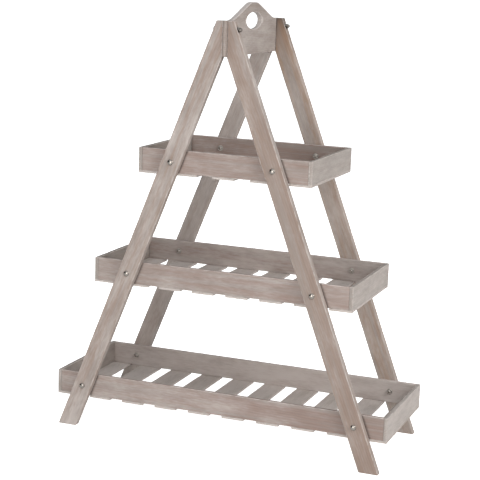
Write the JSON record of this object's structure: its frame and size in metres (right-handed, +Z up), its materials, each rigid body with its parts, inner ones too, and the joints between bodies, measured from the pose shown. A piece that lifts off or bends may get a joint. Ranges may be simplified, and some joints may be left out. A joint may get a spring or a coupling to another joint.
{
  "type": "tiered plant stand",
  "caption": "Free-standing plant stand: A-shaped frames of slanting limed boards carry slatted trays that shorten upwards, under a humped crest board with an oval hand hole.",
  "frame": {"origin": "on the floor, under the middle of the stand", "axes": "+Z up; +X to the right along the trays' length, seen from the front; -Y is the front, towards the viewer"},
  "size_m": [0.838, 0.3454, 1.039],
  "materials": {
    "leg_wood": "softwood, sawn, brushed with a thin white lime wash that stays in the grain and on the edges",
    "crest_wood": "softwood, lime washed, grain running along the board",
    "rail_wood": "softwood, lime washed, grain running along the rail",
    "end_wood": "softwood, lime washed, a little paler",
    "slat_wood": "thin softwood slat, lime washed, grain running along the slat",
    "bolt_steel": "bright zinc-plated steel"
  },
  "bodies": {
    "root": {"front_left_leg": "leg_wood", "front_right_leg": "leg_wood", "back_left_leg": "leg_wood", "back_right_leg": "leg_wood", "crest_board": "crest_wood", "top_tray_front_rail": "rail_wood", "top_tray_back_rail": "rail_wood", "top_tray_left_end": "end_wood", "top_tray_right_end": "end_wood", "top_tray_slat_1": "slat_wood", "top_tray_slat_2": "slat_wood", "top_tray_slat_3": "slat_wood", "top_tray_slat_4": "slat_wood", "top_tray_slat_5": "slat_wood", "middle_tray_front_rail": "rail_wood", "middle_tray_back_rail": "rail_wood", "middle_tray_left_end": "end_wood", "middle_tray_right_end": "end_wood", "middle_tray_slat_1": "slat_wood", "middle_tray_slat_2": "slat_wood", "middle_tray_slat_3": "slat_wood", "middle_tray_slat_4": "slat_wood", "middle_tray_slat_5": "slat_wood", "middle_tray_slat_6": "slat_wood", "middle_tray_slat_7": "slat_wood", "middle_tray_slat_8": "slat_wood", "bottom_tray_front_rail": "rail_wood", "bottom_tray_back_rail": "rail_wood", "bottom_tray_left_end": "end_wood", "bottom_tray_right_end": "end_wood", "bottom_tray_slat_1": "slat_wood", "bottom_tray_slat_2": "slat_wood", "bottom_tray_slat_3": "slat_wood", "bottom_tray_slat_4": "slat_wood", "bottom_tray_slat_5": "slat_wood", "bottom_tray_slat_6": "slat_wood", "bottom_tray_slat_7": "slat_wood", "bottom_tray_slat_8": "slat_wood", "bottom_tray_slat_9": "slat_wood", "bottom_tray_slat_10": "slat_wood", "top_tray_front_left_bolt": "bolt_steel", "top_tray_front_right_bolt": "bolt_steel", "top_tray_back_left_bolt": "bolt_steel", "top_tray_back_right_bolt": "bolt_steel", "middle_tray_front_left_bolt": "bolt_steel", "middle_tray_front_right_bolt": "bolt_steel", "middle_tray_back_left_bolt": "bolt_steel", "middle_tray_back_right_bolt": "bolt_steel", "bottom_tray_front_left_bolt": "bolt_steel", "bottom_tray_front_right_bolt": "bolt_steel", "bottom_tray_back_left_bolt": "bolt_steel", "bottom_tray_back_right_bolt": "bolt_steel", "crest_front_bolt": "bolt_steel", "crest_front_cap_nut": "bolt_steel", "crest_back_bolt": "bolt_steel", "crest_back_cap_nut": "bolt_steel"}
  },
  "joints": []
}
